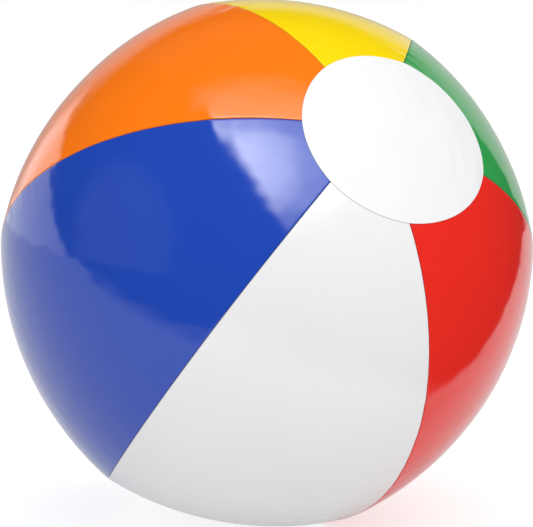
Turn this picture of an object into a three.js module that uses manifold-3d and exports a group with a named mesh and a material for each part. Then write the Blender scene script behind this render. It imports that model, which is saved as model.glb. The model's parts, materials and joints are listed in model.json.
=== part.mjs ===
// An inflated vinyl beach ball: six coloured gores welded edge to edge along margins that turn inwards,
// two round end discs lapped over the gores' tips, and a push-in air valve with a plug and a check flap.
//
// Units are millimetres and +Z is up. The ball lies on its side on the white gore, and the origin is on
// the ground below the middle of the ball. The valve's axis is level and points along +Y.
//
// The ball's own frame has its poles on its z axis, and every direction in it is given by a colatitude
// from the near pole and an azimuth anticlockwise round it. toRow turns that frame into the part's own.
import * as THREE from "three";
import { mergeVertices } from "three/addons/utils/BufferGeometryUtils.js";
import Module from "manifold-3d";

const wasm = await Module();
wasm.setup();

// ---- Driving dimensions: the ball ----
const BALL_DIAMETER = 350; // inflated, across opposite seams
const FILM = 0.3; // thickness of the vinyl film
const GAP = 0.3; // clearance between neighbouring solids that are welded in the real ball
const LOBE_FLATNESS = 0.19; // 0 gives round gores, 1 gives flat ones between the seams
const LOBE_FADE = 0.92; // power of sin(colatitude) by which the lobes fade towards the poles
const MARGIN_DEPTH = 4; // how far a gore's welded margin turns in
const DISC_ANGLE = 19.9; // half angle that an end disc spans, seen from the ball's centre
const DISC_LAP = 8; // width of the weld where a disc lies over the gores' tips
const DISC_CLEARANCE = 0.6; // the discs' inner faces stand this far off the gores
const NEAR_DISC_SHIFT = 7.4; // the near disc is welded on this many degrees off its pole
const NEAR_DISC_SHIFT_AZIMUTH = 200; // and towards this azimuth
const NEAR_DISC_OVAL = 0.05; // stretch of the near disc along its own shift

// ---- Driving dimensions: how it lies ----
const REST_COLATITUDE = 120; // the ball's centre is straight above this point
const REST_AZIMUTH = 105;
const REST_PATCH_RADIUS = 24; // flat patch on the ground, for a round ball of the same size
const VALVE_AZIMUTH = 271.5; // the middle of the yellow gore

// ---- Driving dimensions: gloss ----
const GORE_ROUGHNESS = 0.12;
const END_DISC = { paint: 0xf7f7f8, roughness: 0.2 };
const VALVE_VINYL = { paint: 0xe6e9ea, roughness: 0.3 };

// Gores in order. `azimuth` is where a gore's first seam crosses the equator, and that seam has wandered
// by `drift` degrees at the near pole and by as much the other way at the far one.
const GORES = [
  { colour: "blue", azimuth: 1.5, drift: -1, paint: 0x1c46b4 },
  { colour: "white", azimuth: 60.5, drift: -2.5, paint: 0xf2f2f4, fine: true },
  { colour: "red", azimuth: 116.5, drift: 3.5, paint: 0xe8281c, fine: true },
  { colour: "green", azimuth: 182, drift: 0, paint: 0x2fa34f },
  { colour: "yellow", azimuth: 243.5, drift: 5, paint: 0xffdf00, valve: true },
  { colour: "orange", azimuth: 301.5, drift: 2, paint: 0xff7d0a },
];

// ---- Driving dimensions: the valve, whose y is measured outwards from the film's outer face ----
const FILM_HOLE_RADIUS = 11;
const FLANGE_RADIUS = 15;
const FLANGE_BORE = 8.6;
const FLANGE_THICKNESS = 0.7;
const FLANGE_TOP = -1.1;
const STEM_RADIUS = 5;
const STEM_BORE = 3.6;
const STEM_RIM = -0.4;
const STEM_LENGTH = 12.3;
const FOOT_RADIUS = 6;
const FOOT_THICKNESS = 1.2;
const WEB_TOP = -1.5;
const WEB_BOTTOM = -7;
const WEB_OUTER_RADIUS = 8.25;
const WEB_INNER_RADIUS = 5.35;
const WEB_THICKNESS = 0.55;
const HEAD_RADIUS = 5.6;
const HEAD_THICKNESS = 1.6;
const SHANK_RADIUS = 3.3;
const SHANK_TIP_RADIUS = 2.1;
const SHANK_LENGTH = 4.2; // below the stem's rim
const SOCKET_RADIUS = 1.2; // hollow that runs up the shank from its tip
const SOCKET_DEPTH = 3.2;
const TAB_REACH = 8.6;
const TAB_WIDTH = 5;
const TAB_THICKNESS = 0.8;
const TETHER_WIDTH = 3;
const TETHER_THICKNESS = 0.45;
const TETHER_BEND_RADIUS = 0.85;
const TETHER_REACH = 9.2; // from the valve's axis to the middle of the tether's bend
const FLAP_RADIUS = 4.6;
const FLAP_THICKNESS = 0.4;
const FLAP_EAR_WIDTH = 3;
const FLAP_EAR_REACH = 5.8;

// ---- Mesh density ----
const STEPS_ALONG = 20;
const STEPS_ACROSS = 8;
const FINE_STEPS_ALONG = 28;
const FINE_STEPS_ACROSS = 12;
const DISC_SECTORS = 32;
const DISC_RINGS = 4;
const ROUND_SIDES = 28;
const BEND_STEPS = 8;

// ---- Worked out from the driving dimensions ----
const rad = THREE.MathUtils.degToRad;
const lerp = THREE.MathUtils.lerp;
const SEAM_RADIUS = BALL_DIAMETER / 2;
const FULL_TURN = 2 * Math.PI;
const OPENING_ANGLE = rad(DISC_ANGLE) - DISC_LAP / SEAM_RADIUS;
const REST_DEPTH = SEAM_RADIUS - Math.sqrt(SEAM_RADIUS ** 2 - REST_PATCH_RADIUS ** 2);

function direction(colatitude, azimuth) {
  return new THREE.Vector3(
    Math.sin(colatitude) * Math.cos(azimuth),
    Math.sin(colatitude) * Math.sin(azimuth),
    Math.cos(colatitude),
  );
}

const NEAR_DISC = {
  centre: direction(rad(NEAR_DISC_SHIFT), rad(NEAR_DISC_SHIFT_AZIMUTH)),
  oval: NEAR_DISC_OVAL,
};
const FAR_DISC = { centre: new THREE.Vector3(0, 0, -1), oval: 0 };

// ---- The ball's face ----
// Azimuth of a gore's first seam at a colatitude. Index 6 is the first gore again, a full turn on.
function seamAzimuth(index, colatitude) {
  const gore = GORES[index % GORES.length];
  const turns = Math.floor(index / GORES.length);
  return rad(gore.azimuth + gore.drift * Math.cos(colatitude)) + turns * FULL_TURN;
}

// A gore's section is an arc through both its seams, flatter than the circle that the seams lie on. This
// is the arc's distance from the polar axis as a share of the seams'.
function lobeFactor(angleFromMiddle, halfAngle, colatitude) {
  const flatness = LOBE_FLATNESS * Math.sin(colatitude) ** LOBE_FADE;
  const sagitta = (1 - Math.cos(halfAngle)) * (1 - flatness);
  const arcRadius = (Math.sin(halfAngle) ** 2 + sagitta ** 2) / (2 * sagitta);
  const arcCentre = Math.cos(halfAngle) + sagitta - arcRadius;
  const along = arcCentre * Math.cos(angleFromMiddle);
  return along + Math.sqrt(along ** 2 - arcCentre ** 2 + arcRadius ** 2);
}

function lobeFactorAt(colatitude, azimuth) {
  const first = seamAzimuth(0, colatitude);
  const wrapped = THREE.MathUtils.euclideanModulo(azimuth - first, FULL_TURN) + first;
  let index = 0;
  while (index < GORES.length - 1 && wrapped >= seamAzimuth(index + 1, colatitude)) index += 1;
  const from = seamAzimuth(index, colatitude);
  const to = seamAzimuth(index + 1, colatitude);
  return lobeFactor(wrapped - (from + to) / 2, (to - from) / 2, colatitude);
}

// A point of the ball's face in the ball's own frame, raised outwards by `rise`.
function roundPoint(colatitude, azimuth, rise) {
  const lobe = lobeFactorAt(colatitude, azimuth);
  const point = direction(colatitude, azimuth).multiply(new THREE.Vector3(lobe, lobe, 1));
  return point.setLength(point.length() * SEAM_RADIUS + rise);
}

// ---- How the ball lies ----
// The part's axes, written in the ball's own frame, give the turn from one frame to the other. The
// valve's direction is the level one on its meridian.
const up = direction(rad(REST_COLATITUDE), rad(REST_AZIMUTH)).negate();
const meridian = up.x * Math.cos(rad(VALVE_AZIMUTH)) + up.y * Math.sin(rad(VALVE_AZIMUTH));
const valveColatitude = THREE.MathUtils.euclideanModulo(Math.atan2(-up.z, meridian), Math.PI);
const outwards = direction(valveColatitude, rad(VALVE_AZIMUTH));
const turnToRow = new THREE.Matrix4()
  .makeBasis(new THREE.Vector3().crossVectors(outwards, up), outwards, up)
  .transpose();

// The ball's centre is put so that the middle of the ball's box is above the origin, and so that its
// lowest stretch would reach REST_DEPTH below the ground.
function ballCentre() {
  const box = new THREE.Box3();
  const steps = 90;
  for (let i = 1; i < steps; i += 1) {
    for (let j = 0; j < 2 * steps; j += 1) {
      const point = roundPoint((i / steps) * Math.PI, (j / steps) * Math.PI, 0);
      box.expandByPoint(point.applyMatrix4(turnToRow));
    }
  }
  const middle = box.getCenter(new THREE.Vector3());
  return new THREE.Vector3(-middle.x, -middle.y, -box.min.z - REST_DEPTH);
}

const toRow = turnToRow.clone().setPosition(ballCentre());

// A point of the ball's face in the part's frame. The face is flat on the ground where it lies.
function facePoint(colatitude, azimuth, rise = 0) {
  const point = roundPoint(colatitude, azimuth, rise).applyMatrix4(toRow);
  point.z = Math.max(point.z, -rise);
  return point;
}

// ---- Solids from lists of points ----
function geometryOf(points, triangles) {
  const positions = points.flatMap((point) => [point.x, point.y, point.z]);
  const geometry = new THREE.BufferGeometry();
  geometry.setAttribute("position", new THREE.Float32BufferAttribute(positions, 3));
  geometry.setIndex(triangles.flat());
  return geometry;
}

// The triangles between loops that all have the same number of points. Each four-sided patch is split
// along its shorter diagonal, so the two faces of a film are split alike and stay a film's thickness apart.
function trianglesBetween(loops) {
  const points = loops.flat();
  const size = loops[0].length;
  const triangles = [];
  for (let i = 0; i < loops.length - 1; i += 1) {
    for (let j = 0; j < size; j += 1) {
      const a = i * size + j;
      const b = i * size + ((j + 1) % size);
      const c = a + size;
      const d = b + size;
      if (points[a].distanceTo(points[d]) < points[b].distanceTo(points[c])) {
        triangles.push([a, c, d], [a, d, b]);
      } else {
        triangles.push([a, c, b], [b, c, d]);
      }
    }
  }
  return triangles;
}

// A strip of film from rows of outer points and rows of the inner points straight below them.
function strip(outerRows, innerRows) {
  const loops = outerRows.map((row, i) => [...row, ...[...innerRows[i]].reverse()]);
  const triangles = trianglesBetween(loops);
  const size = loops[0].length;
  const last = (loops.length - 1) * size;
  for (let j = 0; j < size / 2 - 1; j += 1) {
    const below = size - 1 - j;
    triangles.push([j, j + 1, below - 1], [j, below - 1, below]);
    triangles.push([last + j, last + below - 1, last + j + 1]);
    triangles.push([last + j, last + below, last + below - 1]);
  }
  return geometryOf(loops.flat(), triangles);
}

function toManifold(geometry) {
  const bare = geometry.clone();
  bare.deleteAttribute("normal");
  bare.deleteAttribute("uv");
  const merged = mergeVertices(bare);
  return new wasm.Manifold(
    new wasm.Mesh({
      numProp: 3,
      vertProperties: merged.attributes.position.array,
      triVerts: new Uint32Array(merged.index.array),
    }),
  );
}

function fromManifold(solid) {
  const mesh = solid.getMesh();
  const geometry = new THREE.BufferGeometry();
  geometry.setAttribute("position", new THREE.BufferAttribute(mesh.vertProperties, 3));
  geometry.setIndex(new THREE.BufferAttribute(mesh.triVerts, 1));
  return geometry;
}

// ---- Gores ----
// Colatitude at which a meridian meets the edge of the opening under a disc.
function openingColatitude(disc, azimuth) {
  const { x, y, z } = disc.centre;
  const across = x * Math.cos(azimuth) + y * Math.sin(azimuth);
  const middle = (z > 0 ? 0 : Math.PI) + Math.atan(across / z);
  const reach = Math.acos(Math.cos(OPENING_ANGLE) / Math.hypot(across, z));
  return middle + Math.sign(z) * reach;
}

// `along` runs from 0 at the near opening to 1 at the far one.
function goreColatitude(azimuth, along) {
  return lerp(openingColatitude(NEAR_DISC, azimuth), openingColatitude(FAR_DISC, azimuth), along);
}

// One row of a gore, from seam to seam with both margins turned in. `inset` is 0 for the outer face and
// the film's thickness for the inner one. The azimuths depend on the colatitude and the other way round,
// so they are worked out in a few passes.
function goreRow(index, along, across, inset) {
  const points = [];
  for (let j = 0; j <= across; j += 1) {
    let azimuth = lerp(seamAzimuth(index, Math.PI / 2), seamAzimuth(index + 1, Math.PI / 2), j / across);
    let colatitude = goreColatitude(azimuth, along);
    for (let pass = 0; pass < 4; pass += 1) {
      const edge = (GAP / 2 + inset) / (SEAM_RADIUS * Math.sin(colatitude));
      const from = seamAzimuth(index, colatitude) + edge;
      const to = seamAzimuth(index + 1, colatitude) - edge;
      azimuth = lerp(from, to, j / across);
      colatitude = goreColatitude(azimuth, along);
    }
    const surface = facePoint(colatitude, azimuth, -inset);
    const turnedIn = facePoint(colatitude, azimuth, -MARGIN_DEPTH);
    if (j === 0) points.push(turnedIn);
    points.push(surface);
    if (j === across) points.push(turnedIn);
  }
  return points;
}

function goreGeometry(index) {
  const { fine } = GORES[index];
  const stepsAlong = fine ? FINE_STEPS_ALONG : STEPS_ALONG;
  const stepsAcross = fine ? FINE_STEPS_ACROSS : STEPS_ACROSS;
  const rows = (inset) =>
    Array.from({ length: stepsAlong + 1 }, (_, i) => goreRow(index, i / stepsAlong, stepsAcross, inset));
  return strip(rows(0), rows(FILM));
}

// ---- End discs ----
// A point of a disc, at `angle` from the disc's own middle and at `turn` round it.
function discPoint(disc, angle, turn, rise) {
  const stretch = 1 + disc.oval * Math.cos(2 * (turn - rad(NEAR_DISC_SHIFT_AZIMUTH)));
  const tilt = new THREE.Quaternion().setFromUnitVectors(new THREE.Vector3(0, 0, 1), disc.centre);
  const towards = direction(angle * stretch, turn).applyQuaternion(tilt);
  return facePoint(Math.acos(towards.z), Math.atan2(towards.y, towards.x), rise);
}

function discGeometry(disc) {
  const turns = Array.from({ length: DISC_SECTORS }, (_, j) => (j / DISC_SECTORS) * FULL_TURN);
  const rings = (rise) =>
    Array.from({ length: DISC_RINGS }, (_, i) => {
      const angle = (rad(DISC_ANGLE) * (i + 1)) / DISC_RINGS;
      return turns.map((turn) => discPoint(disc, angle, turn, rise));
    });
  const outerRise = DISC_CLEARANCE + FILM;
  const loops = [...rings(outerRise), ...rings(DISC_CLEARANCE).reverse()];
  const triangles = trianglesBetween(loops);
  const points = loops.flat();
  const lastLoop = points.length - DISC_SECTORS;
  const outerMiddle = points.length;
  const innerMiddle = outerMiddle + 1;
  for (let j = 0; j < DISC_SECTORS; j += 1) {
    const next = (j + 1) % DISC_SECTORS;
    triangles.push([outerMiddle, j, next], [innerMiddle, lastLoop + next, lastLoop + j]);
  }
  points.push(discPoint(disc, 0, 0, outerRise), discPoint(disc, 0, 0, DISC_CLEARANCE));
  return geometryOf(points, triangles);
}

// ---- Valve ----
// Turned about the valve's axis, which is y, from a closed profile of [radius, y] points.
function turned(profile) {
  const points = profile.map(([radius, y]) => new THREE.Vector2(radius, y));
  if (profile[0][0] > 0) points.push(points[0].clone());
  return new THREE.LatheGeometry(points, ROUND_SIDES);
}

// A flat outline in x and z, thickened along y from `bottom` to `top`.
function plate(outline, bottom, top) {
  const settings = { depth: top - bottom, bevelEnabled: false, curveSegments: ROUND_SIDES / 2 };
  return new THREE.ExtrudeGeometry(outline, settings).rotateX(Math.PI / 2).translate(0, top, 0);
}

// The flange is welded under the film, so it follows the ball's curve.
function flangeGeometry() {
  const radii = [FLANGE_BORE, FILM_HOLE_RADIUS, FLANGE_RADIUS];
  const top = radii.map((radius) => [radius, FLANGE_TOP - radius ** 2 / (2 * SEAM_RADIUS)]);
  const bottom = top.map(([radius, y]) => [radius, y - FLANGE_THICKNESS]);
  return turned([...bottom, ...top.reverse()]);
}

function webGeometry() {
  return turned([
    [WEB_INNER_RADIUS, WEB_BOTTOM],
    [WEB_INNER_RADIUS + WEB_THICKNESS, WEB_BOTTOM],
    [WEB_OUTER_RADIUS, WEB_TOP],
    [WEB_OUTER_RADIUS - WEB_THICKNESS, WEB_TOP],
  ]);
}

function stemGeometry() {
  const foot = STEM_RIM - STEM_LENGTH;
  return turned([
    [STEM_BORE, foot],
    [FOOT_RADIUS, foot],
    [FOOT_RADIUS, foot + FOOT_THICKNESS],
    [STEM_RADIUS, foot + FOOT_THICKNESS],
    [STEM_RADIUS, STEM_RIM],
    [STEM_BORE, STEM_RIM],
  ]);
}

// The plug is a round head on a hollow tapered shank, with a finger tab on its lower side.
function plugGeometry() {
  const under = STEM_RIM + GAP;
  const top = under + HEAD_THICKNESS;
  const tip = STEM_RIM - SHANK_LENGTH;
  const edge = HEAD_THICKNESS / 4;
  const body = turned([
    [0, tip + SOCKET_DEPTH],
    [SOCKET_RADIUS, tip + SOCKET_DEPTH],
    [SOCKET_RADIUS, tip],
    [SHANK_TIP_RADIUS, tip],
    [SHANK_RADIUS, STEM_RIM],
    [SHANK_RADIUS, under],
    [HEAD_RADIUS - edge, under],
    [HEAD_RADIUS, under + edge],
    [HEAD_RADIUS, top - 2 * edge],
    [HEAD_RADIUS - 2 * edge, top],
    [0, top],
  ]);
  const half = TAB_WIDTH / 2;
  const tab = new THREE.Shape();
  tab.moveTo(half, -HEAD_RADIUS / 2);
  tab.lineTo(-half, -HEAD_RADIUS / 2);
  tab.lineTo(-half, half - TAB_REACH);
  tab.absarc(0, half - TAB_REACH, half, Math.PI, FULL_TURN);
  const tabTop = under + edge + TAB_THICKNESS;
  const tabSolid = toManifold(plate(tab, under + edge, tabTop));
  return fromManifold(toManifold(body).add(tabSolid));
}

// The tether is a strap folded into a hairpin above the valve: its lower leg leaves the stem, its upper
// leg leaves the plug, and the plug swings about its bend.
function tetherGeometry() {
  const outerBend = TETHER_BEND_RADIUS;
  const innerBend = outerBend - TETHER_THICKNESS;
  const quarter = Math.PI / 2;
  const outline = new THREE.Shape();
  outline.moveTo(STEM_RADIUS + GAP, -outerBend);
  outline.lineTo(TETHER_REACH, -outerBend);
  outline.absarc(TETHER_REACH, 0, outerBend, -quarter, quarter);
  outline.lineTo(HEAD_RADIUS + GAP, outerBend);
  outline.lineTo(HEAD_RADIUS + GAP, innerBend);
  outline.lineTo(TETHER_REACH, innerBend);
  outline.absarc(TETHER_REACH, 0, innerBend, quarter, -quarter, true);
  outline.lineTo(STEM_RADIUS + GAP, -innerBend);
  const settings = { depth: TETHER_WIDTH, bevelEnabled: false, curveSegments: BEND_STEPS };
  return new THREE.ExtrudeGeometry(outline, settings)
    .translate(0, 0, -TETHER_WIDTH / 2)
    .rotateY(-Math.PI / 2);
}

// The flap hangs behind the stem's foot from an ear at its top.
function flapGeometry() {
  const half = FLAP_EAR_WIDTH / 2;
  const side = Math.asin(half / FLAP_RADIUS);
  const outline = new THREE.Shape();
  outline.moveTo(half, FLAP_EAR_REACH);
  outline.lineTo(-half, FLAP_EAR_REACH);
  outline.absarc(0, 0, FLAP_RADIUS, Math.PI / 2 + side, 2.5 * Math.PI - side);
  const top = STEM_RIM - STEM_LENGTH - GAP;
  return plate(outline, top - FLAP_THICKNESS, top);
}

// A round hole through the film, which shows the valve.
function withValveHole(geometry, place) {
  const drill = new THREE.CylinderGeometry(
    FILM_HOLE_RADIUS,
    FILM_HOLE_RADIUS,
    SEAM_RADIUS / 2,
    ROUND_SIDES,
  );
  drill.translate(place.x, place.y, place.z);
  return fromManifold(toManifold(geometry).subtract(toManifold(drill)));
}

// ---- Assembly ----
function named(name, geometry, { paint, roughness }) {
  const material = new THREE.MeshStandardMaterial({ color: paint, roughness, metalness: 0 });
  const mesh = new THREE.Mesh(geometry, material);
  mesh.name = name;
  return mesh;
}

const ball = new THREE.Group();
const valvePlace = facePoint(valveColatitude, rad(VALVE_AZIMUTH));
GORES.forEach((gore, index) => {
  const film = goreGeometry(index);
  const cut = gore.valve ? withValveHole(film, valvePlace) : film;
  ball.add(named(`gore_${gore.colour}`, cut, { paint: gore.paint, roughness: GORE_ROUGHNESS }));
});
ball.add(named("end_disc_near", discGeometry(NEAR_DISC), END_DISC));
ball.add(named("end_disc_far", discGeometry(FAR_DISC), END_DISC));

const valve = new THREE.Group();
valve.position.copy(valvePlace);
valve.add(named("valve_flange", flangeGeometry(), VALVE_VINYL));
valve.add(named("valve_web", webGeometry(), VALVE_VINYL));
valve.add(named("valve_stem", stemGeometry(), VALVE_VINYL));
valve.add(named("valve_plug", plugGeometry(), VALVE_VINYL));
valve.add(named("plug_tether", tetherGeometry(), VALVE_VINYL));
valve.add(named("check_flap", flapGeometry(), VALVE_VINYL));
ball.add(valve);

export default ball;
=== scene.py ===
"""An inflated vinyl beach ball, lying on a pale studio floor.

The ball's face is the same formula as in the CAD model, in metres, and finer: each gore is a shell of
film whose margins roll inwards at the seams, with puckers along the welds. The valve's place and axis
come from the frame. Everything random is seeded.
"""

import json
import math

import bpy
import numpy as np
from mathutils import Matrix, Vector


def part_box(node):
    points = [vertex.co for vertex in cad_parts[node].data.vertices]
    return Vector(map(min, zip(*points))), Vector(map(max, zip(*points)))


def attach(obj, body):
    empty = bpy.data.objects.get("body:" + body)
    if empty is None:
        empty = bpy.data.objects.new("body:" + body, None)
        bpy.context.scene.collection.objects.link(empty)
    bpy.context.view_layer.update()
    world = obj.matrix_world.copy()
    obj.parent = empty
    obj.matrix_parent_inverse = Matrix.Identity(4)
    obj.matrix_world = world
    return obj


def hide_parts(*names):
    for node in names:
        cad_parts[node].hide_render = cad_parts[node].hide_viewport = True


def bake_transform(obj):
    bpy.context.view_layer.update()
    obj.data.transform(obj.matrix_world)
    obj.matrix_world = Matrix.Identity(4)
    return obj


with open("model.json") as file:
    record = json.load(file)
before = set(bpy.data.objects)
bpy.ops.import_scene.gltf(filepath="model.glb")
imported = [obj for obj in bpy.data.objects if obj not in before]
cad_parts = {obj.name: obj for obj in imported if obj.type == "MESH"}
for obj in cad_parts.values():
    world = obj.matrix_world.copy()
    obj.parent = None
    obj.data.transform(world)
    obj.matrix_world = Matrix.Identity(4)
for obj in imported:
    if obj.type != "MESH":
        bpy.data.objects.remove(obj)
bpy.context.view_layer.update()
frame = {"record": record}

MM = 0.001
UP = Vector((0, 0, 1))

# ---- The ball's face, as in the CAD model ----
SEAM_RADIUS = 175 * MM
FILM = 0.3 * MM
LOBE_FLATNESS = 0.19
LOBE_FADE = 0.92
MARGIN_DEPTH = 4 * MM
DISC_ANGLE = math.radians(19.9)
DISC_LAP = 8 * MM
NEAR_DISC_SHIFT = math.radians(7.4)
NEAR_DISC_SHIFT_AZIMUTH = math.radians(200)
NEAR_DISC_OVAL = 0.05
REST_COLATITUDE = math.radians(120)
REST_AZIMUTH = math.radians(105)
VALVE_AZIMUTH = math.radians(271.5)
GORES = [
    {"colour": "blue", "azimuth": 1.5, "drift": -1},
    {"colour": "white", "azimuth": 60.5, "drift": -2.5},
    {"colour": "red", "azimuth": 116.5, "drift": 3.5},
    {"colour": "green", "azimuth": 182, "drift": 0},
    {"colour": "yellow", "azimuth": 243.5, "drift": 5},
    {"colour": "orange", "azimuth": 301.5, "drift": 2},
]

# ---- The film's finer shape ----
SEAM_GAP = 0.05 * MM  # left open between two gores' rolled edges
EDGE_ROLL = 0.7 * MM  # radius over which the film turns in at a seam
# A seam's darker line is painted shade of the groove between the gores.
SEAM_SHADE = 0.3 * MM  # how far a seam's darker line reaches from its edge
RIPPLE_HEIGHT = 0.03 * MM
RIPPLE_LENGTH = 13 * MM
PUCKER_HEIGHT = 0.15 * MM
PUCKER_REACH = 13 * MM  # how far puckers run from a weld
PUCKER_LENGTH = 11 * MM  # along the weld, from one pucker to the next
UNEVEN_HEIGHT = 0.22 * MM
UNEVEN_LENGTH = 75 * MM

# ---- The discs' finer shape, with distances in from the edge ----
DISC_LIFT = 0.1 * MM  # the discs' inner faces lie this far off the gores
DISC_EDGE_ROLL = 0.22 * MM
LAP_STEP = 0.12 * MM  # down from the lap to the middle
LAP_STEP_LENGTH = 0.5 * MM
WELD_LINE_DEPTH = 0.08 * MM
WELD_LINE_FROM_EDGE = 1.6 * MM
WELD_LINE_WIDTH = 0.5 * MM
CREASE_HEIGHT = 0.12 * MM
CREASE_LENGTH = 5 * MM
CREASE_PATCH = 40 * MM
CREASE_REACH = 7 * MM
SLACK_HEIGHT = 0.18 * MM
SLACK_LENGTH = 22 * MM
SLACK_FROM_EDGE = 20 * MM
RING_CREASE_HEIGHT = 0.1 * MM
RING_CREASE_STEP = 3 * MM
RING_CREASE_FROM_EDGE = 12.5 * MM
RING_CREASE_BAND = 4 * MM
RING_CREASE_WANDER = 0.8 * MM
RING_CREASE_WANDER_LENGTH = 25 * MM
RING_CREASE_TURN = math.radians(106)
RING_CREASE_SPREAD = 0.3  # as the sine of half the turn

# ---- The vinyl's look ----
DARKEST_PIGMENT = 0.93  # as a share of the slot's colour
# How dark the painted shade along the seams and the discs' cut edges is, as a share of the colour
SEAM_PAINTED_SHADE = 0.6
PIGMENT_SCALE = 14
HANDLING_SCALE = 45
ROLLER_SCALE = 420
ROUGHNESS_SHARES = (0.75, 1.35)
COAT_SHARE = 0.6
VINYL_GLOSS = {"IOR": 1.53, "Coat Roughness": 0.04}
ROLLER_BUMP = {"Strength": 0.12, "Distance": 0.05 * MM}

# ---- Mesh density ----
ROWS = 230
COLUMNS = 80
DISC_RINGS = 90
DISC_SECTORS = 200
ROUND_SIDES = 96
STRAP_SIDES = 24
SHARP_ANGLE = math.radians(50)

# ---- The weld ring pressed into the film round the valve ----
WELD_RING_RADIUS = 13 * MM
WELD_RING_DEPTH = 0.16 * MM
WELD_RING_WIDTH = 1.1 * MM

# ---- The valve, in millimetres, with y outwards from the film's outer face and z from the valve's axis ----
FILM_HOLE_RADIUS = 11
DRILL_REACH = 20
FLANGE_RADIUS = 15
FLANGE_BORE = 8.6
FLANGE_TOP = -1.1
FLANGE_BOTTOM = -1.7
WELD_RIB_RADII = (10.6, 9.7)
WELD_RIB_SIZE = 0.13
WEB_TOP = -1.5
WEB_BOTTOM = -7
WEB_OUTER_RADIUS = 8.75
WEB_INNER_RADIUS = 5.05
WEB_THICKNESS = 0.34
WEB_THINNING = 0.14  # halfway, where it folds
WEB_SAG = 0.06  # as a share of its height
WEB_LEAN = 0.4  # its thickness is measured this much downwards for each step inwards
STEM_RADIUS = 5
STEM_RIM = -0.4
STEM_LENGTH = 12.3
STEM_COLLAR = 0.18  # how far the ring stands out that the web is moulded to
BORE_RADIUS = 3.6
FOOT_RADIUS = 6
FOOT_THICKNESS = 1.2
HEAD_RADIUS = 5.6
HEAD_TOP = 1.5
HEAD_UNDERSIDE = -0.1
SHANK_END = -4.3
SOCKET_RADIUS = 1.2
TAB_MIDDLE = 0.7
TAB_REACH = 8.6
TAB_WIDTH = 5
TAB_THICKNESS = 0.75
TAB_CORNER = 1.6
TAB_NOSE = 0.35
TAB_RIBS = (6.3, 7, 7.7)
TAB_RIB_HEIGHT = 0.22
TAB_RIB_WIDTH = 0.16
TETHER_HINGE = 9.2
TETHER_BEND = 0.625
TETHER_WIDTH = 3
TETHER_THICKNESS = 0.45
TETHER_FLARE = 1.2
TETHER_FLARE_STEPS = 2.5
FLAP_TOP = -13
FLAP_RADIUS = 4.6
FLAP_HINGE = 5.8
EAR_WIDTH = 3
EAR_THICKNESS = 0.3
EAR_CORNER = 0.7

# ---- Camera ----
CAMERA_AZIMUTH = math.radians(-16.7)
CAMERA_ELEVATION = 4.8
CAMERA_DISTANCE = 6 * SEAM_RADIUS
LENS = 106.7
SENSOR = 36

# ---- Light. A heading is an azimuth to the camera's right and an elevation, in degrees. ----
FLOOR_REACH = 12
FLOOR_DROP = 0.1 * MM  # keeps the floor out of the ball's flat patch
TABLE_LIFT = 0.5 * MM
FLOOR_PAINT = (0.45, 0.45, 0.45, 1)
# The dark table's colour; only the ball's gloss shows it, as a painted reflection
DARK_TABLE_REFLECTION_PAINT = (0.02, 0.02, 0.02, 1)
WHITE = (1, 1, 1, 1)
FLOOR_GLOW = 0.68
FLOOR_GLOW_ON_PAINT = 0.41
FLOOR_GLOW_IN_GLOSS = 0.36
# The painted glow, in gloss only, of the dark table's band along the white sheet's edge
SHEET_IN_GLOSS = 0.8
SKY_AT_HORIZON = 0.52
SKY_OVERHEAD = 1.0
KEY_POWER = 11
KEY_SIZE = (1.6, 1.4)
KEY_DISTANCE = 1.6
KEY_HEADING = (12, 40)
ROOM_GLOW = 0.03
SOFTBOX_CORE = (-14, 43)
SOFTBOX_HOT = 5
SOFTBOX_STRENGTH = 4.2
SOFTBOX_CLOUDS = 3.5
HAZE_CORE = (-66, 10)
HAZE_GLOW = 0.22


# ---- Directions and the lobed face ----
def direction(colatitude, azimuth):
    """Unit vectors in the ball's own frame, from its near pole."""
    return np.stack(
        [np.sin(colatitude) * np.cos(azimuth), np.sin(colatitude) * np.sin(azimuth), np.cos(colatitude)],
        axis=-1,
    )


def seam_azimuth(index, colatitude):
    gore = GORES[index % len(GORES)]
    turns = index // len(GORES)
    return np.radians(gore["azimuth"] + gore["drift"] * np.cos(colatitude)) + turns * math.tau


def lobe_factor(angle_from_middle, half_angle, colatitude):
    """How far a gore's arc is from the polar axis, as a share of its seams' distance."""
    flatness = LOBE_FLATNESS * np.abs(np.sin(colatitude)) ** LOBE_FADE
    sagitta = (1 - np.cos(half_angle)) * (1 - flatness)
    radius = (np.sin(half_angle) ** 2 + sagitta**2) / (2 * sagitta)
    centre = np.cos(half_angle) + sagitta - radius
    along = centre * np.cos(angle_from_middle)
    return along + np.sqrt(along**2 - centre**2 + radius**2)


def gore_sides(colatitude, azimuth):
    """The azimuths of the seams on each side, and the azimuth wrapped to lie between them."""
    first = seam_azimuth(0, colatitude)
    wrapped = (azimuth - first) % math.tau + first
    low = first
    high = seam_azimuth(1, colatitude)
    for index in range(1, len(GORES)):
        beyond = wrapped >= seam_azimuth(index, colatitude)
        low = np.where(beyond, seam_azimuth(index, colatitude), low)
        high = np.where(beyond, seam_azimuth(index + 1, colatitude), high)
    return low, high, wrapped


def turn_to_row():
    """The part's axes written in the ball's own frame, as the rows of a matrix, and the valve's place."""
    up = -direction(REST_COLATITUDE, REST_AZIMUTH)
    meridian = up[0] * math.cos(VALVE_AZIMUTH) + up[1] * math.sin(VALVE_AZIMUTH)
    colatitude = math.atan2(-up[2], meridian) % math.pi
    outwards = direction(colatitude, VALVE_AZIMUTH)
    return np.stack([np.cross(outwards, up), outwards, up]), colatitude


TURN, VALVE_COLATITUDE = turn_to_row()


def valve_centre():
    """The middle of the film's outer face at the valve, from the stem's own box."""
    low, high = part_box("valve_stem")
    return np.array([(low.x + high.x) / 2, high.y - STEM_RIM * MM, (low.z + high.z) / 2])


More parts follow.
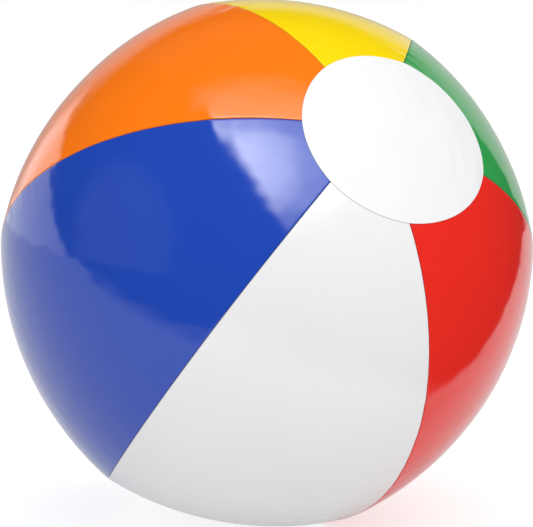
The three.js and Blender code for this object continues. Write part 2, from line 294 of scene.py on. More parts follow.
def lobed(colatitude, azimuth):
    """Points of the smooth face before it is placed, in units of the seams' radius."""
    low, high, wrapped = gore_sides(colatitude, azimuth)
    lobe = lobe_factor(wrapped - (low + high) / 2, (high - low) / 2, colatitude)
    return direction(colatitude, azimuth) * np.stack([lobe, lobe, np.ones_like(lobe)], axis=-1)


VALVE = valve_centre()
CENTRE = VALVE - lobed(np.array(VALVE_COLATITUDE), np.array(VALVE_AZIMUTH)) @ TURN.T * SEAM_RADIUS


def place(colatitude, azimuth, rise):
    """Points of the face in the part's frame, raised outwards by `rise` and flat on the ground."""
    points = lobed(colatitude, azimuth)
    length = np.linalg.norm(points, axis=-1, keepdims=True)
    points = points / length * (length * SEAM_RADIUS + np.asarray(rise)[..., None])
    points = points @ TURN.T + CENTRE
    floor = -np.minimum(rise, 0)
    points[..., 2] = np.maximum(points[..., 2], floor)
    return points


# ---- Humps and smooth seeded noise ----
def hump(distance, width):
    """1 at no distance, and next to nothing past twice the width."""
    return np.exp(-((distance / width) ** 2))


def waves(points, length, seed, count=14):
    """Smooth noise of about -1 to 1, from waves of that length in seeded directions."""
    rng = np.random.default_rng(seed)
    total = 0
    for _ in range(count):
        heading = rng.normal(size=3)
        heading *= math.tau / (length * rng.uniform(0.7, 1.5)) / np.linalg.norm(heading)
        total = total + np.sin(points @ heading + rng.uniform(0, math.tau))
    return total / math.sqrt(count)


def face_relief(colatitude, azimuth):
    """The film's unevenness and its puckers along the seams, as a rise."""
    low, high, wrapped = gore_sides(colatitude, azimuth)
    on_ball = direction(colatitude, azimuth) * SEAM_RADIUS
    uneven = UNEVEN_HEIGHT * 0.5 * waves(on_ball, UNEVEN_LENGTH, seed=3)
    off_seam = np.minimum(wrapped - low, high - wrapped) * SEAM_RADIUS * np.sin(colatitude)
    # A pucker runs straight away from its seam, so its noise changes along the seam only.
    nearer = np.where(wrapped - low < high - wrapped, low, high)
    along_seam = direction(colatitude, nearer) * SEAM_RADIUS
    strength = 0.5 + 0.5 * waves(along_seam, 6 * PUCKER_LENGTH, seed=8)
    fade = hump(off_seam, PUCKER_REACH)
    pucker = PUCKER_HEIGHT * strength * fade * waves(along_seam, PUCKER_LENGTH, seed=5)
    ripple = RIPPLE_HEIGHT * waves(on_ball, RIPPLE_LENGTH, seed=9)
    return uneven + pucker + ripple


# ---- Meshes ----
def mesh_object(name, points, faces, edge=None):
    """A smooth mesh. `edge` is 0 to 1 for each point: 1 at a seam's or a sheet's very edge. It masks the
    painted shade along the film's seams and the discs' cut edges, and the painted glow along the dark
    table's edge.
    """
    mesh = bpy.data.meshes.new(name)
    mesh.from_pydata([tuple(point) for point in points], [], faces)
    mesh.validate()
    mesh.shade_smooth()
    if edge is not None:
        values = mesh.attributes.new("edge", "FLOAT", "POINT")
        values.data.foreach_set("value", np.asarray(edge, dtype=np.float32).ravel())
    piece = bpy.data.objects.new(name, mesh)
    bpy.context.scene.collection.objects.link(piece)
    return piece


def strip_faces(rows, size):
    """Quads between closed loops of `size` points."""
    return [
        (i * size + j, (i + 1) * size + j, (i + 1) * size + (j + 1) % size, i * size + (j + 1) % size)
        for i in range(rows - 1)
        for j in range(size)
    ]


# ---- Gores ----
OPENING_ANGLE = DISC_ANGLE - DISC_LAP / SEAM_RADIUS
NEAR_CENTRE = direction(NEAR_DISC_SHIFT, NEAR_DISC_SHIFT_AZIMUTH)
FAR_CENTRE = np.array([0.0, 0.0, -1.0])


def opening_colatitude(centre, azimuth):
    across = centre[0] * np.cos(azimuth) + centre[1] * np.sin(azimuth)
    middle = (0 if centre[2] > 0 else math.pi) + np.arctan(across / centre[2])
    reach = np.arccos(np.cos(OPENING_ANGLE) / np.hypot(across, centre[2]))
    return middle + math.copysign(1, centre[2]) * reach


def rolled_columns():
    """Where the columns over a gore's rolled edge lie, as distances from that edge, and finest there."""
    return EDGE_ROLL * (1 - np.cos(np.linspace(0, math.pi / 2, 6)))[:-1]


def gore_grid(index, inset):
    """Colatitude, azimuth and distance from the nearer edge for each point of a gore's face."""
    along = np.linspace(0, 1, ROWS + 1)[:, None]
    rolled = rolled_columns()
    count = len(rolled)
    across = np.linspace(0, 1, COLUMNS + 1)[None, :]
    across = np.broadcast_to(across, (ROWS + 1, COLUMNS + 1))
    middle = (seam_azimuth(index, math.pi / 2) + seam_azimuth(index + 1, math.pi / 2)) / 2
    azimuth = np.full((ROWS + 1, COLUMNS + 1 + 2 * count), middle)
    # A seam's azimuth depends on the colatitude, and a disc's opening on the azimuth, so they are settled
    # in turns.
    for _ in range(5):
        near = opening_colatitude(NEAR_CENTRE, azimuth)
        far = opening_colatitude(FAR_CENTRE, azimuth)
        colatitude = near + (far - near) * along
        per_metre = 1 / (SEAM_RADIUS * np.sin(colatitude))
        edge = (SEAM_GAP / 2 + inset) * per_metre
        low = seam_azimuth(index, colatitude) + edge
        high = seam_azimuth(index + 1, colatitude) - edge
        azimuth = np.empty_like(colatitude)
        azimuth[:, :count] = low[:, :count] + rolled * per_metre[:, :count]
        azimuth[:, -count:] = high[:, -count:] - rolled[::-1] * per_metre[:, -count:]
        inner_low = low[:, count:-count] + EDGE_ROLL * per_metre[:, count:-count]
        inner_high = high[:, count:-count] - EDGE_ROLL * per_metre[:, count:-count]
        azimuth[:, count:-count] = inner_low + (inner_high - inner_low) * across
    off_edge = np.minimum(azimuth - low, high - azimuth) / per_metre
    return colatitude, azimuth, off_edge


def valve_weld(colatitude, azimuth):
    """The ring pressed into the film where the valve's flange is welded under it."""
    points = direction(colatitude, azimuth) @ TURN.T * SEAM_RADIUS
    axis_point = direction(np.array(VALVE_COLATITUDE), np.array(VALVE_AZIMUTH)) @ TURN.T * SEAM_RADIUS
    radius = np.linalg.norm(points - axis_point, axis=-1)
    return -WELD_RING_DEPTH * hump(radius - WELD_RING_RADIUS, WELD_RING_WIDTH)


def gore_face(index, inset):
    colatitude, azimuth, off_edge = gore_grid(index, inset)
    into_roll = np.clip(EDGE_ROLL - off_edge, 0, EDGE_ROLL)
    roll = EDGE_ROLL - np.sqrt(EDGE_ROLL**2 - into_roll**2)
    relief = face_relief(colatitude, azimuth) + valve_weld(colatitude, azimuth)
    face = place(colatitude, azimuth, relief - roll - inset)
    turned_in = place(colatitude, azimuth, np.full_like(colatitude, -MARGIN_DEPTH))
    # A seam's painted shade: strongest at the film's edge and over the turned-in margins.
    edge = hump(off_edge, SEAM_SHADE)
    margin = np.ones_like(edge[:, :1])
    return (
        np.concatenate([turned_in[:, :1], face, turned_in[:, -1:]], axis=1),
        np.concatenate([margin, edge, margin], axis=1),
    )


def gore_piece(index):
    outer, edge = gore_face(index, 0)
    inner, _ = gore_face(index, FILM)
    loops = np.concatenate([outer, inner[:, ::-1]], axis=1)
    edges = np.concatenate([edge, edge[:, ::-1]], axis=1)
    rows, size = loops.shape[:2]
    faces = strip_faces(rows, size)
    last = (rows - 1) * size
    for j in range(size // 2 - 1):
        below = size - 1 - j
        faces.append((j, j + 1, below - 1, below))
        faces.append((last + j, last + below, last + below - 1, last + j + 1))
    return mesh_object(f"film_{GORES[index]['colour']}", loops.reshape(-1, 3), faces, edges)


def cut_or_join(piece, tool, operation):
    """Cuts the tool out of a piece, or joins it on, and removes the tool."""
    change = piece.modifiers.new(operation, "BOOLEAN")
    change.operation = operation
    change.solver = "EXACT"
    change.object = tool
    depsgraph = bpy.context.evaluated_depsgraph_get()
    mesh = bpy.data.meshes.new_from_object(piece.evaluated_get(depsgraph))
    mesh.set_sharp_from_angle(angle=SHARP_ANGLE)
    piece.modifiers.clear()
    piece.data = mesh
    bpy.data.objects.remove(tool)


# ---- End discs ----
def disc_relief(angle, turn, points):
    """Weld marks and creases of an end disc, as a rise: its middle lies lower than its lap, a line is
    pressed in near the edge, and creases cross the lap."""
    from_edge = (DISC_ANGLE - angle) * SEAM_RADIUS
    lap_step = -LAP_STEP / (1 + np.exp(-(from_edge - DISC_LAP) / LAP_STEP_LENGTH))
    weld_line = -WELD_LINE_DEPTH * hump(from_edge - WELD_LINE_FROM_EDGE, WELD_LINE_WIDTH)
    # Noise of the turn alone, so that a crease runs straight in from the edge.
    around = np.stack([np.cos(turn), np.sin(turn), np.zeros_like(turn)], axis=-1) * SEAM_RADIUS / 3
    creases = waves(around, CREASE_LENGTH, seed=21) * (0.5 + 0.5 * waves(around, CREASE_PATCH, seed=22))
    creases = creases * hump(from_edge - DISC_LAP, CREASE_REACH)
    slack = waves(points, SLACK_LENGTH, seed=23) * np.clip(from_edge / SLACK_FROM_EDGE, 0, 1)
    rings = ring_creases(from_edge, turn, around)
    return lap_step + weld_line + CREASE_HEIGHT * creases + SLACK_HEIGHT * slack + rings


def ring_creases(from_edge, turn, around):
    """Fine creases that run round inside the lap, where the disc was pulled tight on one side."""
    strength = hump(np.sin((turn - RING_CREASE_TURN) / 2), RING_CREASE_SPREAD)
    strength = strength * hump(from_edge - RING_CREASE_FROM_EDGE, RING_CREASE_BAND)
    wander = RING_CREASE_WANDER * waves(around, RING_CREASE_WANDER_LENGTH, seed=24)
    return RING_CREASE_HEIGHT * strength * np.cos(math.tau * (from_edge + wander) / RING_CREASE_STEP)


def disc_points(centre, oval, angle, turn, rise):
    """Points of a disc, at an angle from its middle and a turn round it."""
    stretched = angle * (1 + oval * np.cos(2 * (turn - NEAR_DISC_SHIFT_AZIMUTH)))
    tilt = Vector((0, 0, 1)).rotation_difference(Vector(centre)).to_matrix()
    towards = direction(stretched, turn) @ np.array(tilt).T
    colatitude = np.arccos(np.clip(towards[..., 2], -1, 1))
    azimuth = np.arctan2(towards[..., 1], towards[..., 0])
    relief = face_relief(colatitude, azimuth) + disc_relief(angle, turn, towards * SEAM_RADIUS)
    return place(colatitude, azimuth, relief + rise)


def disc_piece(name, centre, oval):
    edge_angle = DISC_ANGLE - DISC_EDGE_ROLL / SEAM_RADIUS
    inner_angles = np.linspace(edge_angle / DISC_RINGS, edge_angle, DISC_RINGS)
    turns = np.linspace(0, math.tau, DISC_SECTORS, endpoint=False)
    # The edge is a half round between the outer face and the inner one.
    half_round = np.linspace(0, math.pi, 7)
    edge_angles = edge_angle + DISC_EDGE_ROLL / SEAM_RADIUS * np.sin(half_round)
    edge_rises = DISC_LIFT + FILM * (1 + np.cos(half_round)) / 2
    angles = np.concatenate([inner_angles[:-1], edge_angles, inner_angles[:-1][::-1]])
    outer = np.full(DISC_RINGS - 1, DISC_LIFT + FILM)
    inner = np.full(DISC_RINGS - 1, DISC_LIFT)
    rises = np.concatenate([outer, edge_rises, inner])
    # The disc's cut edge carries painted shade, most at the middle of its half round.
    rim_painted_shade = np.concatenate([0 * outer, np.sin(half_round), 0 * inner])
    every_angle, every_turn = np.meshgrid(angles, turns, indexing="ij")
    points = disc_points(centre, oval, every_angle, every_turn, rises[:, None]).reshape(-1, 3)
    faces = strip_faces(len(angles), DISC_SECTORS)
    middles = [
        disc_points(centre, oval, np.zeros(1), np.zeros(1), np.array([rise]))
        for rise in (DISC_LIFT + FILM, DISC_LIFT)
    ]
    outer_middle = len(points)
    last = outer_middle - DISC_SECTORS
    for j in range(DISC_SECTORS):
        after = (j + 1) % DISC_SECTORS
        faces.append((outer_middle, j, after))
        faces.append((outer_middle + 1, last + after, last + j))
    edge = np.concatenate([np.repeat(rim_painted_shade, DISC_SECTORS), np.zeros(2)])
    return mesh_object(name, np.concatenate([points, *middles]), faces, edge)


# ---- Valve ----
def arc(centre_radius, centre_y, radius, start, end, steps=6):
    """Points of an arc in a profile of (radius, y), with angles in degrees."""
    turns = np.radians(np.linspace(start, end, steps))
    return [(centre_radius + radius * math.cos(t), centre_y + radius * math.sin(t)) for t in turns]


def end_caps(rows, size):
    """The flat faces that close a row of loops at its first and last one."""
    last = (rows - 1) * size
    return [tuple(range(size)), tuple(range(last + size - 1, last - 1, -1))]


def turned(name, profile, hollow=True):
    """Turns a profile of (radius, y) in millimetres about the valve's axis. It runs outwards along the
    piece's underside and back along its top. A hollow piece's profile closes on itself, and a solid
    one's ends are capped."""
    around = np.linspace(0, math.tau, ROUND_SIDES, endpoint=False)
    radius, y = np.array(profile).T * MM
    points = np.stack(
        [
            VALVE[0] + radius[:, None] * np.cos(around),
            np.broadcast_to((VALVE[1] + y)[:, None], (len(profile), ROUND_SIDES)),
            VALVE[2] + radius[:, None] * np.sin(around),
        ],
        axis=-1,
    )
    if hollow:
        count = len(profile) * ROUND_SIDES
        once_round = strip_faces(len(profile) + 1, ROUND_SIDES)
        faces = [tuple(index % count for index in face) for face in once_round]
    else:
        faces = strip_faces(len(profile), ROUND_SIDES) + end_caps(len(profile), ROUND_SIDES)
    return mesh_object(name, points.reshape(-1, 3), faces)


def strap(name, path, widths, thicknesses):
    """A strip with rounded sides along a path of (y, z) from the valve's middle, all in millimetres."""
    path = np.array(path, dtype=float)
    ahead = np.gradient(path, axis=0)
    ahead /= np.linalg.norm(ahead, axis=1, keepdims=True)
    turns = np.linspace(0, math.tau, STRAP_SIDES, endpoint=False)
    side, lift = (np.sign(wave) * np.sqrt(np.abs(wave)) for wave in (np.cos(turns), np.sin(turns)))
    half_width = np.asarray(widths)[:, None] / 2
    half_thickness = np.asarray(thicknesses)[:, None] / 2
    points = np.stack(
        [
            half_width * side,
            path[:, :1] - ahead[:, 1:] * half_thickness * lift,
            path[:, 1:] + ahead[:, :1] * half_thickness * lift,
        ],
        axis=-1,
    )
    faces = strip_faces(len(path), STRAP_SIDES) + end_caps(len(path), STRAP_SIDES)
    return mesh_object(name, points.reshape(-1, 3) * MM + VALVE, faces)


def flange_piece():
    """A ring under the film, which it follows, with two pressed weld ribs inside the film's hole."""
    rounding = 0.25
    top_fall, bottom_fall = 0.25, 0.45  # towards the outer edge, as the film curves away
    profile = [(FLANGE_RADIUS, FLANGE_TOP - top_fall), (FILM_HOLE_RADIUS + 0.4, FLANGE_TOP)]
    for rib in WELD_RIB_RADII:
        profile += arc(rib, FLANGE_TOP, WELD_RIB_SIZE, 0, 180, 6)
    profile += arc(FLANGE_BORE + rounding, FLANGE_TOP - rounding, rounding, 90, 180, 5)
    profile += [(FLANGE_BORE, FLANGE_BOTTOM), (FLANGE_RADIUS, FLANGE_BOTTOM - bottom_fall)]
    return turned("flange", profile)


def web_piece():
    """The soft collar between the flange and the stem."""
    share = np.linspace(0, 1, 14)
    radius = WEB_OUTER_RADIUS + (WEB_INNER_RADIUS - WEB_OUTER_RADIUS) * share
    y = WEB_TOP + (WEB_BOTTOM - WEB_TOP) * (share - WEB_SAG * np.sin(math.tau * share))
    thickness = WEB_THICKNESS - WEB_THINNING * np.sin(math.pi * share)
    outer = list(zip(radius, y))
    inner = list(zip(radius - thickness, y - WEB_LEAN * thickness))
    return turned("web", inner + outer[::-1])


def stem_piece():
    """The tube, with a foot at its inner end, a ring where the web joins it, and a rounded rim."""
    foot = STEM_RIM - STEM_LENGTH
    foot_top = foot + FOOT_THICKNESS
    bevel = 0.2
    outer, inner = 0.3, 0.35  # how far the rim's two edges are rounded
    collar = STEM_RADIUS + STEM_COLLAR
    profile = [(BORE_RADIUS, foot + bevel), (BORE_RADIUS + bevel, foot)]
    profile += [(FOOT_RADIUS - bevel, foot), (FOOT_RADIUS, foot + bevel)]
    profile += [(FOOT_RADIUS, foot_top - bevel), (FOOT_RADIUS - bevel, foot_top)]
    profile += [(STEM_RADIUS, foot_top + 0.3)]
    profile += [(STEM_RADIUS, WEB_BOTTOM - 0.6), (collar, WEB_BOTTOM - 0.3)]
    profile += [(collar, WEB_BOTTOM + 0.4), (STEM_RADIUS, WEB_BOTTOM + 0.7)]
    profile += arc(STEM_RADIUS - outer, STEM_RIM - outer, outer, 0, 90, 5)
    profile += arc(BORE_RADIUS + inner, STEM_RIM - inner, inner, 90, 180, 5)
    return turned("stem", profile)


def plug_piece():
    """A tapered shank with a socket in its end, a head with rounded edges and a shallow dish, and a
    finger tab."""
    socket = [(0.7, -1.2), (1, -1.3), (SOCKET_RADIUS, -1.6), (SOCKET_RADIUS, SHANK_END + 0.2)]
    shank = [(1.35, SHANK_END), (1.9, SHANK_END), (2.1, SHANK_END + 0.25), (3.25, -0.55)]
    under = [(3.5, HEAD_UNDERSIDE - 0.08), (3.8, HEAD_UNDERSIDE)]
    under += arc(HEAD_RADIUS - 0.4, HEAD_UNDERSIDE + 0.4, 0.4, -90, 0, 6)
    over = arc(HEAD_RADIUS - 0.5, HEAD_TOP - 0.5, 0.5, 0, 90, 6)
    dish = [(4.6, HEAD_TOP), (4.35, HEAD_TOP - 0.1), (1.5, HEAD_TOP - 0.14)]
    plug = turned("plug", socket + shank + under + over + dish, hollow=False)
    cut_or_join(plug, tab_piece(), "UNION")
    return plug


def rounded_off(past):
    """How much of a size is left at a share of the way round a corner, from 0 to 1. Not quite all goes."""
    return np.sqrt(1 - 0.97 * past**2)


def tab_piece():
    """The plug's finger tab, with rounded corners and grip ribs."""
    out = np.linspace(4.7, TAB_REACH - TAB_NOSE, 46)
    out = np.concatenate([out, TAB_REACH - TAB_NOSE + TAB_NOSE * np.sin(np.linspace(0.2, 1.5, 7))])
    past_corner = np.clip((out - TAB_REACH + TAB_CORNER) / TAB_CORNER, 0, 1)
    past_nose = np.clip((out - TAB_REACH + TAB_NOSE) / TAB_NOSE, 0, 1)
    widths = TAB_WIDTH - 2 * TAB_CORNER * (1 - np.sqrt(1 - past_corner**2))
    ribs = sum(hump(out - rib, TAB_RIB_WIDTH) for rib in TAB_RIBS)
    thicknesses = (TAB_THICKNESS + TAB_RIB_HEIGHT * ribs) * rounded_off(past_nose)
    return strap("tab", [(TAB_MIDDLE, -z) for z in out], widths, thicknesses)


def tether_piece():
    """The strap from the stem's side round to the head's side, a little wider where it joins them."""
    turns = np.radians(np.linspace(-90, 90, 17))[1:-1]
    lower = [(-TETHER_BEND, z) for z in np.linspace(STEM_RADIUS - 0.1, TETHER_HINGE, 22)]
    bend = [(TETHER_BEND * math.sin(t), TETHER_HINGE + TETHER_BEND * math.cos(t)) for t in turns]
    upper = [(TETHER_BEND, z) for z in np.linspace(TETHER_HINGE, HEAD_RADIUS - 0.1, 20)]
    path = lower + bend + upper
    steps = np.arange(len(path))
    widths = TETHER_WIDTH + TETHER_FLARE * hump(np.minimum(steps, steps[::-1]), TETHER_FLARE_STEPS)
    return strap("tether", path, widths, np.full(len(path), TETHER_THICKNESS))


def flap_piece():
    """A thin domed plate that closes the stem's foot, with an ear at its hinge."""
    half = EAR_THICKNESS / 2
    middle = FLAP_TOP - 0.2
    profile = [(1, FLAP_TOP - 0.46), (3, FLAP_TOP - 0.42)]
    profile += arc(FLAP_RADIUS - half, middle, half, -90, 90, 7)
    profile += [(3, FLAP_TOP - 0.03), (1, FLAP_TOP)]
    flap = turned("flap", profile, hollow=False)
    out = np.linspace(3.9, FLAP_HINGE, 20)
    past_corner = np.clip((out - FLAP_HINGE + EAR_CORNER) / EAR_CORNER, 0, 1)
    widths = EAR_WIDTH - 2 * EAR_CORNER * (1 - rounded_off(past_corner))
    ear = strap("ear", [(middle, z) for z in out], widths, np.full(len(out), EAR_THICKNESS))
    cut_or_join(flap, ear, "UNION")
    return flap


# ---- Materials ----
def shader(name):
    material = bpy.data.materials.new(name)
    material.use_nodes = True
    nodes = material.node_tree.nodes
    return material, nodes, material.node_tree.links, nodes["Principled BSDF"]


def set_inputs(node, settings):
    for name, value in settings.items():
        node.inputs[name].default_value = value


def feed(links, socket, source):
    """Gives a socket a number or a colour, or links another node's output to it."""
    if isinstance(source, bpy.types.NodeSocket):
        links.new(source, socket)
    elif isinstance(source, tuple):
        socket.default_value = (*source, 1)
    else:
        socket.default_value = source


def noise(nodes, links, scale, detail):
    texture = nodes.new("ShaderNodeTexNoise")
    set_inputs(texture, {"Scale": scale, "Detail": detail})
    coordinates = nodes.new("ShaderNodeTexCoord")
    links.new(coordinates.outputs["Object"], texture.inputs["Vector"])
    return texture.outputs["Fac"]


def ramp(nodes, links, value, low, high):
    """Maps a 0 to 1 value onto a range of numbers."""
    node = nodes.new("ShaderNodeMapRange")
    set_inputs(node, {"To Min": low, "To Max": high})
    links.new(value, node.inputs["Value"])
    return node.outputs["Result"]


def painted_light_share(nodes):
    """The mesh's own `edge` value: the mask of painted shade on the film, and of painted glow on the dark
    table.
    """
    attribute = nodes.new("ShaderNodeAttribute")
    attribute.attribute_name = "edge"
    return attribute.outputs["Fac"]


def mixed_colour(nodes, links, value, first, second):
    """Either colour is a plain one or a node's output."""
    node = nodes.new("ShaderNodeMix")
    node.data_type = "RGBA"
    links.new(value, node.inputs["Factor"])
    feed(links, node.inputs["A"], first)
    feed(links, node.inputs["B"], second)
    return node.outputs["Result"]


def vinyl(name, colour, roughness=0.1, shine=0.5, clear=0.0):
    """Glossy calendered film: pigment that varies a little, painted shade along the seams and the discs' cut
    edges, handling marks in the gloss, and a fine unevenness from the rollers."""
    material, nodes, links, surface = shader(name)
    shade = tuple(channel * DARKEST_PIGMENT for channel in colour)
    # Painted shade along the seams and the discs' cut edges, where the edge mask is 1
    seam_painted_shade = tuple(channel * SEAM_PAINTED_SHADE for channel in colour)
    pigment = mixed_colour(nodes, links, noise(nodes, links, PIGMENT_SCALE, 3), shade, colour)
    painted = mixed_colour(nodes, links, painted_light_share(nodes), pigment, seam_painted_shade)
    links.new(painted, surface.inputs["Base Color"])
    smoothest, roughest = (roughness * share for share in ROUGHNESS_SHARES)
    rough = ramp(nodes, links, noise(nodes, links, HANDLING_SCALE, 4), smoothest, roughest)
    links.new(rough, surface.inputs["Roughness"])
    set_inputs(surface, VINYL_GLOSS)
    set_inputs(surface, {"Specular IOR Level": shine, "Coat Weight": COAT_SHARE * shine})
    set_inputs(surface, {"Transmission Weight": clear})
    bump = nodes.new("ShaderNodeBump")
    set_inputs(bump, ROLLER_BUMP)
    links.new(noise(nodes, links, ROLLER_SCALE, 2), bump.inputs["Height"])
    links.new(bump.outputs["Normal"], surface.inputs["Normal"])
    return material


# ---- Assembly ----
def finish_piece(piece, body, node, material):
    piece.data.materials.append(material)
    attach(piece, body)
    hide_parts(node)


def build_envelope():
    for index, gore in enumerate(GORES):
        colour = gore["colour"]
        slot = f"vinyl_{colour}"
        piece = gore_piece(index)
        if colour == "yellow":
            wall = [(FILM_HOLE_RADIUS, -DRILL_REACH), (FILM_HOLE_RADIUS, DRILL_REACH)]
            drill = turned("drill", wall, hollow=False)
            cut_or_join(piece, drill, "DIFFERENCE")
        finish_piece(piece, "envelope", f"gore_{colour}", vinyl(slot, PAINT[slot]))
    disc_vinyl = vinyl("vinyl_disc", PAINT["vinyl_disc"], roughness=0.3, shine=0.15)
    near = disc_piece("disc_near", NEAR_CENTRE, NEAR_DISC_OVAL)
    finish_piece(near, "envelope", "end_disc_near", disc_vinyl)
    far = disc_piece("disc_far", FAR_CENTRE, 0)
    finish_piece(far, "envelope", "end_disc_far", disc_vinyl)


def build_valve():
    clear = vinyl("vinyl_clear", PAINT["vinyl_clear"], roughness=0.25, clear=0.15)
    finish_piece(flange_piece(), "envelope", "valve_flange", clear)
    finish_piece(stem_piece(), "stem", "valve_stem", clear)
    web = web_piece()
    web.data.materials.append(clear)
    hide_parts("valve_web")
    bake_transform(web)
    finish_piece(plug_piece(), "plug", "valve_plug", clear)
    finish_piece(flap_piece(), "flap", "check_flap", clear)
    tether = tether_piece()
    tether.data.materials.append(clear)
    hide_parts("plug_tether")
    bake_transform(tether)


PAINT = {slot["slot"]: tuple(slot["base_color"][:3]) for slot in frame["record"]["materials"]}
build_envelope()
build_valve()


# ---- Studio ----
def studio_direction(azimuth, elevation):
    """A level turn from the camera's side of the ball, to the right, and a rise, both in degrees."""
    turn = CAMERA_AZIMUTH + math.radians(azimuth)
    rise = math.radians(elevation)
    level = math.cos(rise)
    return Vector((math.sin(turn) * level, -math.cos(turn) * level, math.sin(rise)))


def add_camera():
    camera = bpy.data.objects.new("camera", bpy.data.cameras.new("camera"))
    bpy.context.scene.collection.objects.link(camera)
    towards = studio_direction(0, CAMERA_ELEVATION)
    camera.location = Vector(CENTRE) + towards * CAMERA_DISTANCE
    camera.rotation_euler = towards.to_track_quat("Z", "Y").to_euler()
    camera.data.lens = LENS
    camera.data.sensor_width = SENSOR
    camera.data.clip_start = 0.01
    bpy.context.scene.camera = camera


def switched(nodes, links, switch, off, on):
    """One of two strengths, each a number or a node's output."""
    choice = nodes.new("ShaderNodeMix")
    links.new(switch, choice.inputs["Factor"])
    feed(links, choice.inputs["A"], off)
    feed(links, choice.inputs["B"], on)
    return choice.outputs["Result"]


def add_floor():
    """A white light table: some of its light comes from below, so the ball's shadow on it is faint. The
    camera sees it burnt out, and the ball's paint and gloss get less of its glow."""
    far = FLOOR_REACH
    corners = [(x, y, -FLOOR_DROP) for x, y in ((-far, -far), (far, -far), (far, far), (-far, far))]
    floor = mesh_object("floor", corners, [(0, 1, 2, 3)])
    material, nodes, links, surface = shader("floor")
    set_inputs(surface, {"Roughness": 0.7, "Specular IOR Level": 0.1})
    set_inputs(surface, {"Base Color": FLOOR_PAINT, "Emission Color": WHITE})
    ray = nodes.new("ShaderNodeLightPath")
    on_paint = switched(nodes, links, ray.outputs["Is Diffuse Ray"], FLOOR_GLOW, FLOOR_GLOW_ON_PAINT)
    glow = switched(nodes, links, ray.outputs["Is Glossy Ray"], on_paint, FLOOR_GLOW_IN_GLOSS)
    links.new(glow, surface.inputs["Emission Strength"])
    material.cycles.emission_sampling = "NONE"
    floor.data.materials.append(material)


def add_dark_table_for_painted_reflection():
    """A painted reflection: the dark table past the white sheet's near and right edges, which are soft. Only
    the ball's gloss shows it, and its glowing band along those edges stands in for the white sheet's soft
    edge."""
    far = FLOOR_REACH
    # The sheet's edge, as metres to the right and towards the camera, and how soft it is at each point.
    sheet_edge = [(-far, 0.5), (-0.12, 0.42), (0.15, 0.2), (0.3, 0.03), (0.7, -0.36), (far, -1.2 * far)]
    softness = [0.2, 0.2, 0.08, 0.02, 0.02, 0.02]
    count = len(sheet_edge)
    right, towards = 0.6, 0.8  # where the sheet's soft edge leads
    dark_edge = [(x + right * blur, y + towards * blur) for (x, y), blur in zip(sheet_edge, softness)]
    outline = sheet_edge + dark_edge + [(far, far), (-far, far)]
    level = Matrix.Rotation(CAMERA_AZIMUTH, 3, "Z")
    points = [level @ Vector((x, -towards_camera, TABLE_LIFT)) for x, towards_camera in outline]
    faces = [(i, i + 1, count + i + 1, count + i) for i in range(count - 1)]
    faces.append(tuple(range(count, len(outline))))
    table = mesh_object("dark_table_for_painted_reflection", points, faces, [1.0] * count + [0.0] * (count + 2))
    material, nodes, links, surface = shader("dark_table_for_painted_reflection")
    set_inputs(surface, {"Roughness": 0.9, "Specular IOR Level": 0})
    set_inputs(surface, {"Base Color": DARK_TABLE_REFLECTION_PAINT, "Emission Color": WHITE})
    # The glowing band along the sheet's edge is a painted reflection of the white sheet.
    links.new(ramp(nodes, links, painted_light_share(nodes), 0, SHEET_IN_GLOSS), surface.inputs["Emission Strength"])
    material.cycles.emission_sampling = "NONE"
    table.data.materials.append(material)
    table.visible_camera = False
    table.visible_diffuse = False
    table.visible_shadow = False


def add_key_light():
    """A soft box's even light. The world's own patch is what the gloss shows of it."""
    heading = studio_direction(*KEY_HEADING)
    lamp = bpy.data.objects.new("softbox", bpy.data.lights.new("softbox", "AREA"))
    lamp.data.shape = "RECTANGLE"
    lamp.data.size, lamp.data.size_y = KEY_SIZE
    lamp.data.energy = KEY_POWER
    lamp.location = Vector(CENTRE) + heading * KEY_DISTANCE
    lamp.rotation_euler = heading.to_track_quat("Z", "Y").to_euler()
    lamp.visible_camera = False
    lamp.visible_glossy = False
    bpy.context.scene.collection.objects.link(lamp)


class WorldMaths:
    """Short ways to write the world's light as a sum and product of masks of the ray's direction."""

    def __init__(self, nodes, links):
        self.nodes = nodes
        self.links = links
        self.ray = nodes.new("ShaderNodeTexCoord").outputs["Generated"]

    def facing(self, heading):
        """The cosine of the ray's angle from a heading."""
        node = self.nodes.new("ShaderNodeVectorMath")
        node.operation = "DOT_PRODUCT"
        node.inputs[1].default_value = heading
        self.links.new(self.ray, node.inputs[0])
        return node.outputs["Value"]

    def smooth(self, value, start, end, low=0.0, high=1.0):
        node = self.nodes.new("ShaderNodeMapRange")
        node.interpolation_type = "SMOOTHSTEP"
        set_inputs(node, {"From Min": start, "From Max": end, "To Min": low, "To Max": high})
        self.links.new(value, node.inputs["Value"])
        return node.outputs["Result"]

    def clouds(self, scale):
        texture = self.nodes.new("ShaderNodeTexNoise")
        texture.inputs["Scale"].default_value = scale
        self.links.new(self.ray, texture.inputs["Vector"])
        return texture.outputs["Fac"]

    def combine(self, operation, *values):
        total = values[0]
        for value in values[1:]:
            node = self.nodes.new("ShaderNodeMath")
            node.operation = operation
            feed(self.links, node.inputs[0], total)
            feed(self.links, node.inputs[1], value)
            total = node.outputs["Value"]
        return total


def edge_plane(first, second):
    """The normal of the plane through two studio directions, for a straight edge between them."""
    return studio_direction(*first).cross(studio_direction(*second)).normalized()


SOFTBOX_LEFT_EDGE = edge_plane((7, 12), (-64, 64))
SOFTBOX_RIGHT_EDGE = edge_plane((62, 8), (74, 26))
WALL_LEFT_END = edge_plane((-90, -4), (-122, 22))
WALL_RIGHT_END = edge_plane((146, -3), (137, 22))
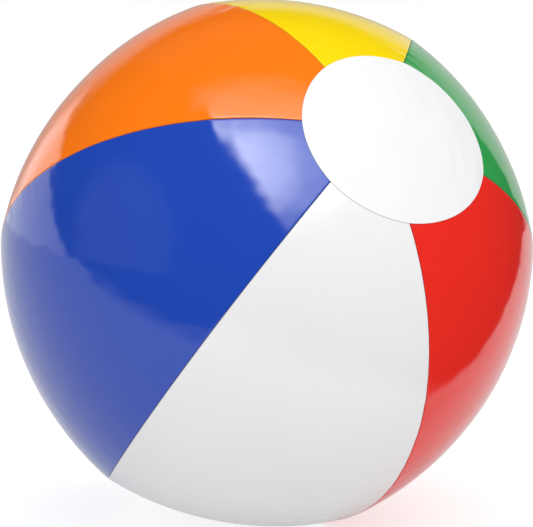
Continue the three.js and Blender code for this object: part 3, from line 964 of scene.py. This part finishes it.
# Each edge and reach is from nothing to all, as the cosine from a heading or from an edge's plane. For a
# bottom and a top that is the sine of the elevation.
SOFTBOX = {"left": (0.03, -0.07), "right": (-0.05, 0.05), "bottom": (0.1, 0.65), "top": (0.8, 0.98)}
SOFTBOX_REACH = {"hot": (0.9, 0.99), "warm": (0.62, 0.95)}
SOFTBOX_CLOTH = (0.3, 0.7, 0.88, 1.08)
SOFTBOX_DIMMEST = 0.05
SOFTBOX_AT_TOP = 0.4
WALL_END = 0.02
HAZE_REACH = (0.88, 0.96)
NEAR_WALL = {"glow": 1.1, "centre": (-114, 4), "reach": (0.74, 0.86), "top": (0.42, 0.36)}
BACK_WALL = {"glow": 0.42, "centre": (172, 10), "reach": (0.62, 0.84), "top": (0.66, 0.5)}
SIDE_WALL = {"glow": 0.2, "centre": (152, 12), "reach": (0.93, 0.985), "top": (0.5, 0.4)}


def softbox_glow(maths):
    """What the gloss shows of the soft box: three straight edges, hot in the middle, fading upwards."""
    left = maths.smooth(maths.facing(SOFTBOX_LEFT_EDGE), *SOFTBOX["left"])
    right = maths.smooth(maths.facing(SOFTBOX_RIGHT_EDGE), *SOFTBOX["right"])
    bottom = maths.smooth(maths.facing(UP), *SOFTBOX["bottom"])
    off_core = maths.facing(studio_direction(*SOFTBOX_CORE))
    hot = maths.smooth(off_core, *SOFTBOX_REACH["hot"], 0, SOFTBOX_HOT)
    warm = maths.smooth(off_core, *SOFTBOX_REACH["warm"], SOFTBOX_DIMMEST, SOFTBOX_STRENGTH)
    heat = maths.combine("ADD", hot, warm)
    cloth = maths.smooth(maths.clouds(SOFTBOX_CLOUDS), *SOFTBOX_CLOTH)
    upwards = maths.smooth(maths.facing(UP), *SOFTBOX["top"], 1, SOFTBOX_AT_TOP)
    return maths.combine("MULTIPLY", left, right, bottom, upwards, heat, cloth)


def wall_glow(maths, wall):
    """What the gloss shows of a low white wall. The row of walls has ends that lean outwards."""
    left = maths.smooth(maths.facing(WALL_LEFT_END), -WALL_END, WALL_END)
    right = maths.smooth(maths.facing(WALL_RIGHT_END), WALL_END, -WALL_END)
    within = maths.smooth(maths.facing(studio_direction(*wall["centre"])), *wall["reach"])
    top = maths.smooth(maths.facing(UP), *wall["top"])
    return maths.combine("MULTIPLY", left, right, within, top, wall["glow"])


def add_world():
    """White for the camera, soft daylight for the paint, and a studio with dark corners for the gloss."""
    world = bpy.data.worlds.new("studio")
    bpy.context.scene.world = world
    world.use_nodes = True
    nodes, links = world.node_tree.nodes, world.node_tree.links
    maths = WorldMaths(nodes, links)
    haze = maths.smooth(maths.facing(studio_direction(*HAZE_CORE)), *HAZE_REACH, 0, HAZE_GLOW)
    glow = maths.combine(
        "ADD",
        ROOM_GLOW,
        softbox_glow(maths),
        haze,
        *(wall_glow(maths, wall) for wall in (NEAR_WALL, BACK_WALL, SIDE_WALL)),
    )
    daylight = maths.smooth(maths.facing(UP), -0.1, 1, SKY_AT_HORIZON, SKY_OVERHEAD)
    ray = nodes.new("ShaderNodeLightPath")
    background = nodes["Background"]
    background.inputs["Color"].default_value = WHITE
    in_gloss = switched(nodes, links, ray.outputs["Is Glossy Ray"], daylight, glow)
    strength = switched(nodes, links, ray.outputs["Is Camera Ray"], in_gloss, 1.0)
    links.new(strength, background.inputs["Strength"])


add_camera()
add_floor()
add_dark_table_for_painted_reflection()
add_key_light()
add_world()
bpy.context.scene.view_settings.view_transform = "Standard"
